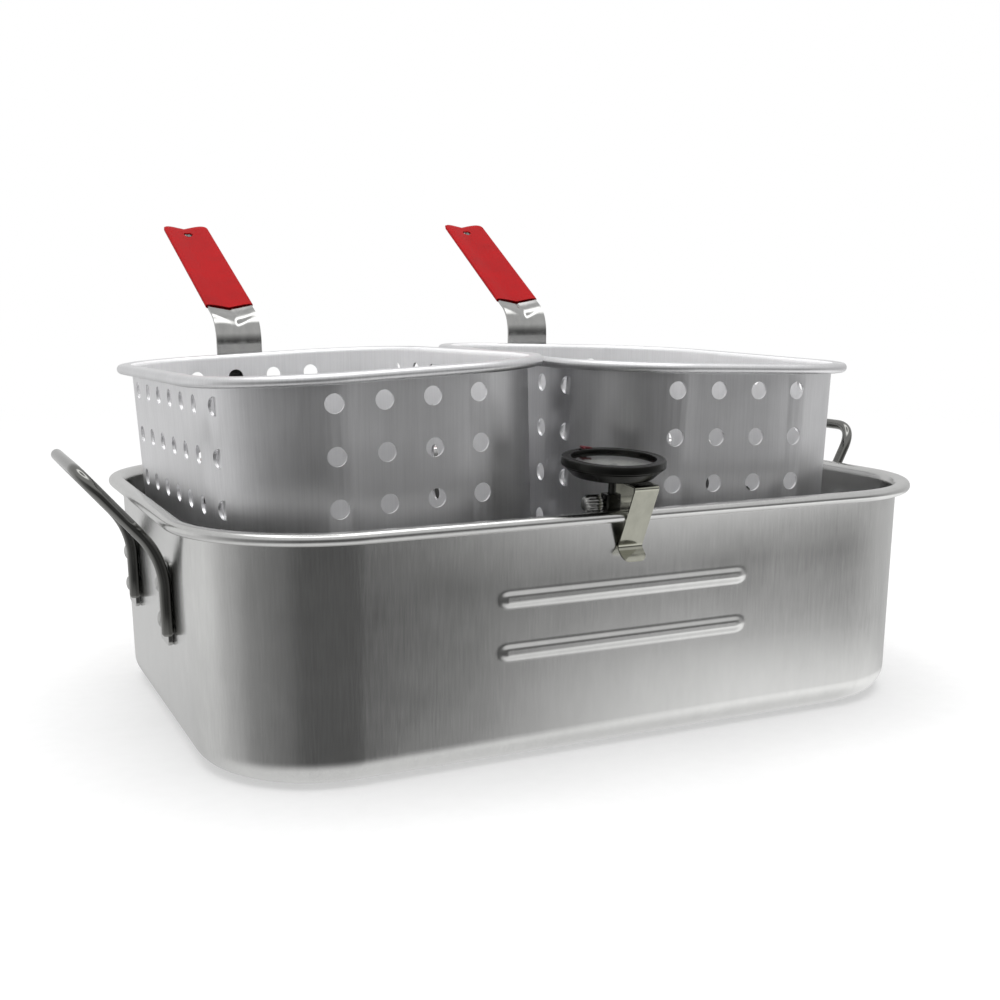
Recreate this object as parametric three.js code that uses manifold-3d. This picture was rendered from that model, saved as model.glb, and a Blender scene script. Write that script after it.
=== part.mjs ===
// A rectangular fry pan with two lift-out baskets and a dial thermometer clipped to its rim.
// Millimetres, +Z up. The origin is the middle of the pan's flat underside, +X runs along the
// pan's length and the baskets' handles lean back towards +Y.
import * as THREE from 'three';
import { mergeVertices } from 'three/addons/utils/BufferGeometryUtils.js';
import Module from 'manifold-3d';

const wasm = await Module();
wasm.setup();

const { degToRad } = THREE.MathUtils;
const QUARTER_TURN = Math.PI / 2;

// ---------------------------------------------------------------- driving dimensions
const GAP = 0.3; // left between pieces that touch
const CORNER_STEPS = 5; // facets in a quarter turn of a shell's corner

const pan = {
  halfX: 213.5, halfY: 149, height: 126, corner: 70, // outside of the wall, at the rim
  taper: 3.2, // how far the wall leans in by the floor
  fillet: 15, sheet: 2, lip: 8, bead: 3, flare: 5,
};
const rib = { length: 146, halfWidth: 4.5, rise: 1.2, sunk: 0.5, heights: [85, 58] };

const basket = {
  halfX: 89.5, halfY: 128, height: 191, corner: 58, taper: 3.6,
  fillet: 14, sheet: 1.5, lip: 8.6, bead: 2.7, flare: 3,
};
const holes = { pitch: 25.5, firstDrop: 14.8, rows: 6, across: 4, along: 8, alongFloor: 6 };
const holeCut = { sides: 4, radius: 5.8 }; // a square about as open as the round 9.8 mm hole
// Where each basket stands, and how it is left turned and tipped, in degrees.
const places = {
  left: { x: -114, y: 7, rim: 197.3, tip: [-0.6, -2.4, 2.2], handleX: -7, handleRoll: 1.5 },
  right: { x: 89, y: 3.7, rim: 197.6, tip: [0.5, 1.6, -2.3], handleX: -7.2, handleRoll: -1.8 },
};

const strap = {
  width: 30, sheet: 1.8, foot: -62, kick: -18, kickRise: 11, clear: 10, bend: 21, lean: 62, reach: 144,
  valley: 3.2, radius: 14,
};
const strapRivetDrops = [31, 55];
const handlePivot = 43; // below the rim, between the rivets
const grip = { start: 21.5, wall: 1.1, pastTip: 3, tipTaper: 4 };
const hangHole = { radius: 3.2, fromTip: 10 };

const wire = { radius: 3.1, legEnd: 60, legTop: 101, spacing: 96, bendRadius: 16 };
const wireLoops = { left: { offCentre: 2, out: 38.5, up: 47 }, right: { offCentre: 14, out: 23, up: 47 } };
const legPlate = { width: 22, height: 44, sheet: 2.4, centre: 75, fromLeg: 14.6 };
const rivet = { shank: 2.2, head: 4.6, edge: 1, dome: 3, tail: 3.6, tailHeight: 1.3 };
const rivetRise = 9.5; // each plate rivet's height above or below the middle of its plate

const dial = {
  centre: [-8.2, -146, 152.4], lean: 4.5, radius: 26.7, window: 21.6, bezel: 4.2, depth: 9.6,
  skirt: 0.9, facets: 20,
};
const stem = { radius: 2, bore: 1.35, length: 136 };
const clip = {
  from: 1, width: 14, sheet: 0.8, innerLeg: 3.8, innerEnd: -36, top: -11.8, front: -21,
  press: [-6.9, -46], tail: [-14.2, -51.6], bendRadius: 2.4,
};
const collar = { halfX: 4.2, halfY: 3.1, top: -19, bottom: -28 };
const screw = { head: 4.8, length: 10, shank: 1.5, height: -23.5 };

// ---------------------------------------------------------------- materials
const metal = (color, roughness) => new THREE.MeshStandardMaterial({ color, roughness, metalness: 1 });
const plain = (color, roughness) => new THREE.MeshStandardMaterial({ color, roughness });
const materials = {
  aluminium: metal(0xb9b9b6, 0.4),
  plated: metal(0xa8a8a4, 0.18),
  stainless: metal(0xa09f90, 0.22),
  gunmetal: metal(0x34342f, 0.35),
  vinyl: plain(0xb8161c, 0.38),
  dialWhite: plain(0xd8d6cc, 0.6),
  markerRed: plain(0x8c1220, 0.4),
  needleBlack: plain(0x181818, 0.5),
  glass: new THREE.MeshStandardMaterial({ color: 0xb4b4b0, roughness: 0.1, transparent: true, opacity: 0.4 }),
};

// ---------------------------------------------------------------- helpers
const fryer = new THREE.Group();

function add(parent, name, geometry, material) {
  const mesh = new THREE.Mesh(geometry, material);
  mesh.name = name;
  parent.add(mesh);
  return mesh;
}

function toSolid(geometry) {
  const bare = geometry.clone();
  bare.deleteAttribute('normal');
  bare.deleteAttribute('uv');
  const merged = mergeVertices(bare, 1e-4);
  return new wasm.Manifold(new wasm.Mesh({
    numProp: 3,
    vertProperties: new Float32Array(merged.attributes.position.array),
    triVerts: new Uint32Array(merged.index.array),
  }));
}

function toGeometry(solid) {
  const mesh = solid.getMesh();
  const geometry = new THREE.BufferGeometry();
  geometry.setAttribute('position', new THREE.BufferAttribute(new Float32Array(mesh.vertProperties), 3));
  geometry.setIndex(new THREE.BufferAttribute(new Uint32Array(mesh.triVerts), 1));
  return geometry;
}

// A geometry with others joined to it and then more cut from it.
function carve(geometry, { joins = [], cuts = [] }) {
  let solid = toSolid(geometry);
  for (const piece of joins) solid = solid.add(toSolid(piece));
  for (const piece of cuts) solid = solid.subtract(toSolid(piece));
  return toGeometry(solid);
}

// A closed body skinned over rings of equally many points, each running right-handed about
// the way the rings advance. The two ends are capped with the given triangles, or with fans.
function loft(rings, caps = null) {
  const count = rings[0].length;
  const last = (rings.length - 1) * count;
  const index = [];
  for (let start = 0; start < last; start += count) {
    for (let i = 0; i < count; i += 1) {
      const next = (i + 1) % count;
      index.push(start + i, start + next, start + count + next);
      index.push(start + i, start + count + next, start + count + i);
    }
  }
  const fan = Array.from({ length: count - 2 }, (_, i) => [0, i + 1, i + 2]);
  for (const [a, b, c] of caps ?? fan) {
    index.push(a, c, b);
    index.push(last + a, last + b, last + c);
  }
  const geometry = new THREE.BufferGeometry().setFromPoints(rings.flat());
  return geometry.setIndex(index);
}

function roundedRing(halfX, halfY, radius, z) {
  const ring = [];
  for (let corner = 0; corner < 4; corner += 1) {
    const sideX = corner === 0 || corner === 3 ? 1 : -1;
    const sideY = corner < 2 ? 1 : -1;
    for (let step = 0; step <= CORNER_STEPS; step += 1) {
      const angle = (corner + step / CORNER_STEPS) * QUARTER_TURN;
      const x = sideX * (halfX - radius) + radius * Math.cos(angle);
      const y = sideY * (halfY - radius) + radius * Math.sin(angle);
      ring.push(new THREE.Vector3(x, y, z));
    }
  }
  return ring;
}

// [outward offset, height] points of a drawn shell's section, from its underside out, over
// the rolled rim and down to the floor inside.
function shellSection({ height, taper, fillet, sheet, lip, bead, flare }) {
  const section = [];
  const arc = (offset, z, radius, from, to, steps) => {
    for (let step = 0; step <= steps; step += 1) {
      const angle = degToRad(from + (to - from) * step / steps);
      section.push([offset + radius * Math.cos(angle), z + radius * Math.sin(angle)]);
    }
  };
  const foot = -taper * (height - fillet) / height;
  arc(foot - fillet, fillet, fillet, -90, 0, 3);
  section.push([0, height - 2 * bead - 1]);
  arc(lip - bead, height - bead, bead, -90, 90, 4);
  arc(flare - sheet, height - flare, flare, 90, 180, 2);
  arc(foot - fillet, fillet, fillet - sheet, 0, -90, 3);
  return section;
}

function drawnShell(shell) {
  const rings = shellSection(shell).map(([offset, z]) => (
    roundedRing(shell.halfX + offset, shell.halfY + offset, shell.corner + offset, z)
  ));
  return loft(rings);
}

// A prism along an axis, used to cut round holes.
function rod(radius, length, sides, axis) {
  const geometry = new THREE.CylinderGeometry(radius, radius, length, sides);
  if (axis === 'x') geometry.rotateZ(-QUARTER_TURN);
  if (axis === 'z') geometry.rotateX(QUARTER_TURN);
  return geometry;
}

// A solid of revolution about +Z through [radius, height] points.
function turned(points, segments) {
  const profile = points.map(([radius, height]) => new THREE.Vector2(radius, height));
  return new THREE.LatheGeometry(profile, segments).rotateX(QUARTER_TURN);
}

// Points along a line with its corners rounded off.
function roundCorners(points, radius, steps) {
  const path = [points[0]];
  for (let i = 1; i < points.length - 1; i += 1) {
    const [before, corner, after] = [points[i - 1], points[i], points[i + 1]];
    const back = before.clone().sub(corner);
    const ahead = after.clone().sub(corner);
    const trim = Math.min(radius, back.length() / 2.05, ahead.length() / 2.05);
    const start = corner.clone().add(back.setLength(trim));
    const end = corner.clone().add(ahead.setLength(trim));
    for (let step = 0; step <= steps; step += 1) {
      const t = step / steps;
      path.push(start.clone().lerp(corner, t).lerp(corner.clone().lerp(end, t), t));
    }
  }
  path.push(points[points.length - 1]);
  return path;
}

// A strip of sheet that follows a line in the YZ plane. valleyAt gives how far its middle is
// pressed down at each point of the line, and trimAt how much is taken off its width there.
function ribbon(line, { width, sheet, valleyAt = () => 0, trimAt = () => 0 }) {
  const rings = line.map((point, i) => {
    const before = line[Math.max(i - 1, 0)];
    const after = line[Math.min(i + 1, line.length - 1)];
    const along = after.clone().sub(before).normalize();
    const place = (x, lift) => new THREE.Vector3(x, point.x - along.y * lift, point.y + along.x * lift);
    const side = (width - trimAt(i)) / 2;
    const top = sheet / 2;
    const valley = valleyAt(i);
    return [
      place(-side, top), place(0, top - valley), place(side, top),
      place(side, -top), place(0, -top - valley), place(-side, -top),
    ];
  });
  return loft(rings, [[0, 1, 4], [0, 4, 5], [1, 2, 3], [1, 3, 4]]);
}

// A domed rivet along +Z: its head stands on z = 0 and its tail closes under z = -grasp.
function rivetGeometry(grasp) {
  const under = -grasp - 2 * GAP;
  return turned([
    [0, under - rivet.tailHeight], [rivet.tail, under - rivet.tailHeight], [rivet.tail, under],
    [rivet.shank, under], [rivet.shank, GAP], [rivet.head, GAP], [rivet.head, rivet.edge],
    [0.7 * rivet.head, 0.8 * rivet.dome], [0, rivet.dome],
  ], 8);
}

// ---------------------------------------------------------------- pan, its handles and rivets
const wallAngle = Math.atan(pan.taper / pan.height);

// Hardware on an end wall is laid out in a frame whose +X points out of the wall and whose
// origin is on the wall at the middle of the leg plates. The left end is the right end turned.
function endFrame(side) {
  const turn = new THREE.Matrix4().makeRotationZ(side === 'left' ? Math.PI : 0);
  const inward = pan.taper * (pan.height - legPlate.centre) / pan.height;
  const shift = new THREE.Matrix4().makeTranslation(pan.halfX - inward, 0, legPlate.centre);
  return turn.multiply(shift).multiply(new THREE.Matrix4().makeRotationY(wallAngle));
}

const legPlaces = (side) => [-1, 1].map((end) => wireLoops[side].offCentre + end * wire.spacing / 2);
const plateRivets = (side) => legPlaces(side).flatMap((leg) => (
  [-1, 1].map((level) => [leg - legPlate.fromLeg, level * rivetRise])
));
const rivetHole = (y, z) => rod(rivet.shank + GAP, 24, 8, 'x').translate(0, y, z);

function stiffeningRib(height) {
  const outline = new THREE.Shape();
  const end = rib.length / 2 - rib.halfWidth;
  outline.absarc(end, 0, rib.halfWidth, -QUARTER_TURN, QUARTER_TURN);
  outline.absarc(-end, 0, rib.halfWidth, QUARTER_TURN, 3 * QUARTER_TURN);
  const plate = new THREE.ExtrudeGeometry(outline, {
    depth: rib.rise + rib.sunk, bevelEnabled: false, curveSegments: 3,
  });
  const inward = pan.taper * (pan.height - height) / pan.height;
  return plate.rotateX(QUARTER_TURN).translate(0, -pan.halfY + inward + rib.sunk, height);
}

const endHoles = ['left', 'right'].flatMap((side) => (
  plateRivets(side).map(([y, z]) => rivetHole(y, z).applyMatrix4(endFrame(side)))
));
add(fryer, 'pan_body', carve(drawnShell(pan), {
  joins: rib.heights.map(stiffeningRib), cuts: endHoles,
}), materials.aluminium);

function wireLoop(side) {
  const { out, up } = wireLoops[side];
  const [near, far] = legPlaces(side);
  const seat = wire.radius + GAP;
  const low = wire.legEnd - legPlate.centre;
  const high = wire.legTop - legPlate.centre;
  const corners = [
    [seat, near, low], [seat, near, high], [seat + out, near, high + up],
    [seat + out, far, high + up], [seat, far, high], [seat, far, low],
  ].map((corner) => new THREE.Vector3(...corner));
  const path = new THREE.CurvePath();
  const line = roundCorners(corners, wire.bendRadius, 4);
  line.slice(1).forEach((point, i) => path.add(new THREE.LineCurve3(line[i], point)));
  const sides = 8;
  const section = Array.from({ length: sides }, (_, i) => {
    const angle = (i + 0.5) / sides * 2 * Math.PI;
    return new THREE.Vector2(wire.radius * Math.cos(angle), wire.radius * Math.sin(angle));
  });
  return new THREE.ExtrudeGeometry(new THREE.Shape(section), { steps: 32, extrudePath: path });
}

for (const side of ['left', 'right']) {
  const end = new THREE.Group();
  end.applyMatrix4(endFrame(side));
  fryer.add(end);
  add(end, `${side}_handle_wire`, wireLoop(side), materials.plated);
  legPlaces(side).forEach((leg, i) => {
    const y = leg - legPlate.fromLeg;
    const blank = new THREE.BoxGeometry(legPlate.sheet, legPlate.width, legPlate.height)
      .translate(GAP + legPlate.sheet / 2, y, 0);
    const cuts = [-1, 1].map((level) => rivetHole(y, level * rivetRise));
    add(end, `${side}_handle_plate_${i + 1}`, carve(blank, { cuts }), materials.plated);
  });
  plateRivets(side).forEach(([y, z], i) => {
    const geometry = rivetGeometry(legPlate.sheet + pan.sheet).rotateY(QUARTER_TURN)
      .translate(legPlate.sheet + GAP, y, z);
    add(end, `${side}_handle_rivet_${i + 1}`, geometry, materials.plated);
  });
}

// ---------------------------------------------------------------- baskets
// Everything here is in the basket's own frame: the origin is the middle of its rim's top.
const slope = basket.taper / basket.height;
const spread = (count) => Array.from({ length: count }, (_, i) => (i - (count - 1) / 2) * holes.pitch);

const holeRod = (length, axis) => rod(holeCut.radius, length, holeCut.sides, axis);

function basketHoles() {
  const cuts = [];
  for (let row = 0; row < holes.rows; row += 1) {
    const z = -holes.firstDrop - row * holes.pitch;
    for (const x of spread(holes.across)) {
      cuts.push(holeRod(2 * basket.halfY + 9, 'y').translate(x, 0, z));
    }
    for (const y of spread(holes.along)) {
      cuts.push(holeRod(2 * basket.halfX + 9, 'x').translate(0, y, z));
    }
  }
  for (const x of spread(holes.across)) {
    for (const y of spread(holes.alongFloor)) {
      cuts.push(holeRod(9, 'z').translate(x, y, -basket.height));
    }
  }
  return cuts;
}

// The strap's middle line: up the back wall, out past the rolled rim, up, then leaning back.
function strapLine() {
  const onWall = (drop) => basket.halfY + slope * drop + GAP + strap.sheet / 2;
  const stand = basket.halfY + strap.clear;
  const lean = degToRad(strap.lean);
  return roundCorners([
    new THREE.Vector2(onWall(strap.foot), strap.foot),
    new THREE.Vector2(onWall(strap.kick), strap.kick),
    new THREE.Vector2(stand, strap.kick + strap.kickRise),
    new THREE.Vector2(stand, strap.bend),
    new THREE.Vector2(stand + strap.reach * Math.sin(lean), strap.bend + strap.reach * Math.cos(lean)),
  ], strap.radius, 3);
}

const leanDirection = new THREE.Vector2(Math.sin(degToRad(strap.lean)), Math.cos(degToRad(strap.lean)));
const bendPoint = new THREE.Vector2(basket.halfY + strap.clear, strap.bend);
const alongLean = (distance) => bendPoint.clone().addScaledVector(leanDirection, distance);

function strapGeometry(cuts) {
  const line = strapLine();
  const valleyAt = (i) => (i >= line.length - 2 ? strap.valley : 0);
  return carve(ribbon(line, { ...strap, valleyAt }), { cuts });
}

function gripGeometry(cuts) {
  const tip = strap.reach + grip.pastTip;
  const valleyAt = () => strap.valley;
  const sleeve = ribbon([grip.start, tip - grip.tipTaper, tip].map(alongLean), {
    width: strap.width + 2 * grip.wall,
    sheet: strap.sheet + 2 * grip.wall,
    valleyAt,
    trimAt: (i) => (i === 2 ? 2 * grip.tipTaper : 0),
  });
  const pocket = ribbon([grip.start - 5, strap.reach + GAP].map(alongLean), {
    width: strap.width + 2 * GAP, sheet: strap.sheet + 2 * GAP, valleyAt,
  });
  return carve(sleeve, { cuts: [pocket, ...cuts] });
}

function hangHoleCut() {
  const place = alongLean(strap.reach - hangHole.fromTip);
  return rod(hangHole.radius, 30, 8, 'z').rotateX(QUARTER_TURN - degToRad(strap.lean))
    .translate(0, place.x, place.y);
}

const shellBelowRim = drawnShell(basket).translate(0, 0, -basket.height);
const rivetPlaces = strapRivetDrops.map((drop) => [basket.halfY - slope * drop, -drop]);

for (const side of ['left', 'right']) {
  const place = places[side];
  const group = new THREE.Group();
  group.position.set(place.x, place.y, place.rim);
  group.rotation.set(...place.tip.map(degToRad), 'ZYX');
  fryer.add(group);
  const handle = new THREE.Group();
  // A handle has turned a little about its rivets, flat against the wall.
  handle.applyMatrix4(new THREE.Matrix4().makeTranslation(place.handleX, 0, -handlePivot)
    .multiply(new THREE.Matrix4().makeRotationY(degToRad(place.handleRoll)))
    .multiply(new THREE.Matrix4().makeTranslation(0, 0, handlePivot)));
  group.add(handle);
  const cutAt = ([y, z]) => rod(rivet.shank + GAP, 12, 8, 'y').translate(0, y, z);
  const rivetCuts = rivetPlaces.map(cutAt);
  const wallCuts = rivetCuts.map((cut) => cut.clone().applyMatrix4(handle.matrix));
  add(group, `${side}_basket`, carve(shellBelowRim, { cuts: [...basketHoles(), ...wallCuts] }),
    materials.aluminium);
  const hang = hangHoleCut();
  add(handle, `${side}_basket_strap`, strapGeometry([...rivetCuts, hang]), materials.plated);
  add(handle, `${side}_basket_grip`, gripGeometry([hang]), materials.vinyl);
  rivetPlaces.forEach(([y, z], i) => {
    const geometry = rivetGeometry(strap.sheet + basket.sheet).rotateX(-QUARTER_TURN)
      .translate(0, y + strap.sheet + GAP, z);
    add(handle, `${side}_basket_rivet_${i + 1}`, geometry, materials.plated);
  });
}

// ---------------------------------------------------------------- clip-on dial thermometer
// Laid out along the stem: the origin is the middle of the dial's top and -Z runs down the stem.
const thermometer = new THREE.Group();
thermometer.position.set(...dial.centre);
thermometer.rotation.x = degToRad(dial.lean);
fryer.add(thermometer);

const windowTop = -1.6 - GAP;
const lensBottom = windowTop - 1.2;
const faceTop = -dial.depth + 2.9;
const caseRadius = dial.radius - dial.skirt - 2 * GAP;

add(thermometer, 'dial_bezel', turned([
  [dial.window, 0], [dial.window, -1.6], [dial.radius - dial.skirt, -1.6],
  [dial.radius - dial.skirt, -dial.bezel], [dial.radius, -dial.bezel], [dial.radius, -0.8],
  [dial.radius - 0.8, 0], [dial.window, 0],
], dial.facets), materials.gunmetal);

add(thermometer, 'dial_lens', turned([
  [0, lensBottom], [caseRadius, lensBottom], [caseRadius, windowTop], [0, windowTop],
], dial.facets), materials.glass);

add(thermometer, 'dial_case', turned([
  [stem.radius + GAP, -dial.depth], [dial.radius - 5.4, -dial.depth],
  [caseRadius, -dial.bezel - 0.6], [caseRadius, lensBottom - GAP],
  [caseRadius - 1, lensBottom - GAP], [caseRadius - 1, -dial.bezel - 0.8],
  [dial.radius - 6, -dial.depth + 1], [stem.radius + GAP, -dial.depth + 1],
  [stem.radius + GAP, -dial.depth],
], dial.facets), materials.gunmetal);

const face = { hole: 1, radius: caseRadius - 4, sheet: 0.5 };
add(thermometer, 'dial_face', turned([
  [face.hole, faceTop - face.sheet], [face.radius, faceTop - face.sheet], [face.radius, faceTop],
  [face.hole, faceTop], [face.hole, faceTop - face.sheet],
], dial.facets), materials.dialWhite);

const stemTop = -dial.depth + 1.6;
add(thermometer, 'thermometer_stem', turned([
  [0, -stem.length], [1.2, -stem.length + 0.5], [stem.radius, -stem.length + 2.5],
  [stem.radius, stemTop], [stem.bore, stemTop], [stem.bore, -stem.length + 4],
  [0, -stem.length + 4],
], 12), materials.stainless);

add(thermometer, 'stem_nut', turned([
  [stem.radius + GAP, -dial.depth - 3], [3.2, -dial.depth - 3], [3.6, -dial.depth - GAP],
  [stem.radius + GAP, -dial.depth - GAP], [stem.radius + GAP, -dial.depth - 3],
], 6), materials.gunmetal);

const coil = { length: 38, turns: 5, radius: 0.85, thickness: 0.3 };
function bimetalCoil() {
  const bottom = -stem.length + 5;
  const steps = coil.turns * 6;
  const points = Array.from({ length: steps + 1 }, (_, i) => {
    const angle = 2 * Math.PI * coil.turns * i / steps;
    const z = bottom + coil.length * i / steps;
    return new THREE.Vector3(coil.radius * Math.cos(angle), coil.radius * Math.sin(angle), z);
  });
  const path = new THREE.CatmullRomCurve3(points);
  const side = coil.thickness / 2;
  const section = new THREE.Shape([[-side, -side], [side, -side], [side, side], [-side, side]]
    .map(([x, y]) => new THREE.Vector2(x, y)));
  return new THREE.ExtrudeGeometry(section, { steps, extrudePath: path });
}
add(thermometer, 'bimetal_coil', bimetalCoil(), materials.needleBlack);

const needleBottom = faceTop + 0.9;
const shaftBottom = -stem.length + 5 + coil.length + 1.5;
add(thermometer, 'pointer_shaft', turned([
  [0, shaftBottom], [0.5, shaftBottom], [0.5, needleBottom - GAP], [0, needleBottom - GAP],
], 8), materials.stainless);

function needleOutline() {
  const outline = new THREE.Shape();
  outline.moveTo(-5, -0.9);
  outline.lineTo(-1.6, -0.9);
  outline.absarc(0, 0, 2, degToRad(-150), degToRad(-30));
  outline.lineTo(17.5, -0.2);
  outline.lineTo(17.5, 0.2);
  outline.absarc(0, 0, 2, degToRad(30), degToRad(150));
  outline.lineTo(-5, 0.9);
  return outline;
}
add(thermometer, 'dial_needle', new THREE.ExtrudeGeometry(needleOutline(), {
  depth: 0.5, bevelEnabled: false, curveSegments: 3,
}).rotateZ(degToRad(225)).translate(0, 0, needleBottom), materials.needleBlack);

// The movable marker points outwards from the window to the edge of the bezel.
const marker = { angle: 102, inner: 19.5, outer: 26.4, notch: 2.4, halfWidth: 2.6, sheet: 1.2 };
const markerOutline = new THREE.Shape([
  [marker.inner, -marker.halfWidth], [marker.outer, -0.5], [marker.outer, 0.5],
  [marker.inner, marker.halfWidth], [marker.inner + marker.notch, 0],
].map(([x, y]) => new THREE.Vector2(x, y)));
add(thermometer, 'temperature_marker', new THREE.ExtrudeGeometry(markerOutline, {
  depth: marker.sheet, bevelEnabled: false,
}).rotateZ(degToRad(marker.angle)).translate(0, 0, GAP), materials.markerRed);

// The spring clip: inner leg beside the stem, over the pan's rim, down to press on the wall.
function clipGeometry() {
  const corners = [
    [clip.innerLeg, clip.innerEnd], [clip.innerLeg, clip.top], [clip.front, clip.top],
    clip.press, clip.tail,
  ].map(([y, z]) => new THREE.Vector2(y, z));
  const strip = ribbon(roundCorners(corners, clip.bendRadius, 3), clip)
    .translate(clip.from + clip.width / 2, 0, 0);
  const earHeight = collar.top - collar.bottom;
  const ear = new THREE.BoxGeometry(clip.from + collar.halfX + 1, clip.sheet, earHeight).translate(
    (clip.from + 1 - collar.halfX) / 2, clip.innerLeg, (collar.top + collar.bottom) / 2,
  );
  const stemNotch = rod(4.1, 12, 12, 'z').translate(0, 0, clip.top);
  return carve(strip, { joins: [ear], cuts: [stemNotch] });
}
add(thermometer, 'rim_clip', clipGeometry(), materials.stainless);

const block = new THREE.BoxGeometry(2 * collar.halfX, 2 * collar.halfY, collar.top - collar.bottom)
  .translate(0, 0, (collar.top + collar.bottom) / 2);
add(thermometer, 'clip_collar', carve(block, {
  cuts: [
    rod(stem.radius + GAP, 20, 12, 'z').translate(0, 0, screw.height),
    rod(screw.shank + GAP, 5, 10, 'x').translate(-4, 0, screw.height),
  ],
}), materials.gunmetal);

function thumbScrew() {
  const back = -collar.halfX - GAP;
  const tip = -stem.radius - GAP;
  const knurls = 12;
  const grooves = Array.from({ length: knurls }, (_, i) => {
    const angle = i / knurls * 2 * Math.PI;
    return rod(0.55, 20, 4, 'z')
      .translate(screw.head * Math.cos(angle), screw.head * Math.sin(angle), back - screw.length);
  });
  const body = turned([
    [0, back - screw.length], [screw.head - 1, back - screw.length],
    [screw.head, back - screw.length + 1], [screw.head, back - 1.5], [screw.head - 1.5, back],
    [screw.shank, back], [screw.shank, tip], [0, tip],
  ], knurls);
  return carve(body, { cuts: grooves }).rotateY(QUARTER_TURN).translate(0, 0, screw.height);
}
add(thermometer, 'thumb_screw', thumbScrew(), materials.gunmetal);

export default fryer;
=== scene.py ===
"""Looks for a rectangular fry pan with two lift-out baskets and a dial thermometer on its rim.

Shapes are laid out in millimetres in local frames that match the CAD's, then placed in metres.
"""

import math

import bmesh
import bpy
from mathutils import Euler, Matrix, Vector


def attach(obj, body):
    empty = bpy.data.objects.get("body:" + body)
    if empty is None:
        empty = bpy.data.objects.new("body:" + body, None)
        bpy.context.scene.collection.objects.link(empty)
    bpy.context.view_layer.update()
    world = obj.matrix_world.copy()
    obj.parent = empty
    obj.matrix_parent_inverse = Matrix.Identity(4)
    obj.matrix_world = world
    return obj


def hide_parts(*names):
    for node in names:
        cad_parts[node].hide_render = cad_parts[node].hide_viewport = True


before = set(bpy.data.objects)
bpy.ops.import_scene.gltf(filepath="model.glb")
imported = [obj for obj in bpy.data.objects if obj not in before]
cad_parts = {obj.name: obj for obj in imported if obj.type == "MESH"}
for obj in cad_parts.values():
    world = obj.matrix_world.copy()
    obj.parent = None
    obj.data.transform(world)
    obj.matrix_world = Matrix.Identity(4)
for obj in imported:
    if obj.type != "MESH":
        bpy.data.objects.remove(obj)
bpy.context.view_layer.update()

MM = 0.001
QUARTER = math.pi / 2

# ------------------------------------------------------------------ driving dimensions, in mm
PAN = dict(
    half_x=213.5, half_y=149, height=126, corner=70, taper=3.2, fillet=15, sheet=2,
    lip=8, bead=3, flare=5, corner_steps=24, front_steps=190,
)
BASKET = dict(
    half_x=89.5, half_y=128, height=191, corner=58, taper=3.6, fillet=14, sheet=1.5,
    lip=8.6, bead=2.7, flare=3, corner_steps=20, front_steps=1,
)
FILLET_STEPS = 12
RIB = dict(length=146, half_width=4.5, rise=1.2, heights=(85, 58), flank=1.5, margin=8, rows=54)
HOLE = dict(radius=4.9, pitch=25.5, first_drop=14.8, rows=6, across=4, along=8, along_floor=6, cut=8)
PLACES = {
    "left": dict(at=(-114, 7, 197.3), tip=(-0.6, -2.4, 2.2), handle_x=-7, handle_roll=1.5),
    "right": dict(at=(89, 3.7, 197.6), tip=(0.5, 1.6, -2.3), handle_x=-7.2, handle_roll=-1.8),
}
STRAP = dict(
    width=30, sheet=1.8, foot=-62, kick=-18, kick_rise=11, clear=10, bend=21, lean=62, reach=144,
    radius=14, valley=3.2, valley_below=9, valley_run=22, foot_round=4, foot_trim=3, cells=24,
)
STRAP_RIVET_DROPS = (31, 55)
HANDLE_PIVOT = 43  # below the rim, between the rivets
GRIP = dict(
    start=21.5, wall=1.1, past_tip=3, tip_length=7, tip_narrowing=6.5, notch=0.4, body_steps=26,
)
HANG_HOLE = dict(radius=3.2, from_tip=10)
WIRE = dict(radius=3.1, leg_end=60, leg_top=101, spacing=96, bend=16)
WIRE_LOOPS = {"left": (2, 38.5, 47), "right": (14, 23, 47)}  # off centre, out, up
LEG_PLATE = dict(width=22, height=44, corner=3, sheet=2.4, centre=75, from_leg=14.6)
RIVET = dict(shank=2.2, head=4.6, edge=0.9, dome=3, tail=3.6, tail_height=1.3, rise=9.5)
DIAL = dict(centre=(-8.2, -146, 152.4), lean=4.5, radius=26.7, window=21.6, bezel=4.2, depth=9.6)
SCALE = dict(start=225, sweep=270, ticks=50, numbers=6, first=50, step=100, text=3.0)
MARKER_AT = 102  # degrees round the bezel
STEM = dict(radius=2, length=136)
CLIP = dict(
    first_x=1, width=14, sheet=0.8, inner=3.8, inner_end=-36, top=-11.8, front=-21, bend=2.4,
    pinch=(-6.9, -46), tail=(-14.2, -51.6), tail_round=5, notch=4.1, cells=8,
)
COLLAR = dict(half_x=4.2, half_y=3.1, top=-19, bottom=-28)
SCREW = dict(head=4.8, length=10, height=-23.5, knurls=14, per_knurl=8, groove=0.75)
GAP = 0.3  # between neighbouring pieces


# ------------------------------------------------------------------ mesh helpers
def ring_of(radius, z, steps):
    turn = [2 * math.pi * i / steps for i in range(steps)]
    return [Vector((radius * math.cos(a), radius * math.sin(a), z)) for a in turn]


def loft(rings, looped=False):
    """Vertices and faces of a body skinned over rings. A looped one joins its last ring to its first."""
    count, faces = len(rings[0]), []
    pairs = [(k, k + 1) for k in range(len(rings) - 1)]
    if looped:
        pairs.append((len(rings) - 1, 0))
    for low, high in pairs:
        for i in range(count):
            j = (i + 1) % count
            faces.append((low * count + i, low * count + j, high * count + j, high * count + i))
    if not looped:
        faces.append(tuple(reversed(range(count))))
        faces.append(tuple(range((len(rings) - 1) * count, len(rings) * count)))
    return [point for ring in rings for point in ring], faces


def lathe(profile, steps=72, looped=False):
    return loft([ring_of(radius, z, steps) for radius, z in profile], looped)


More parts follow.
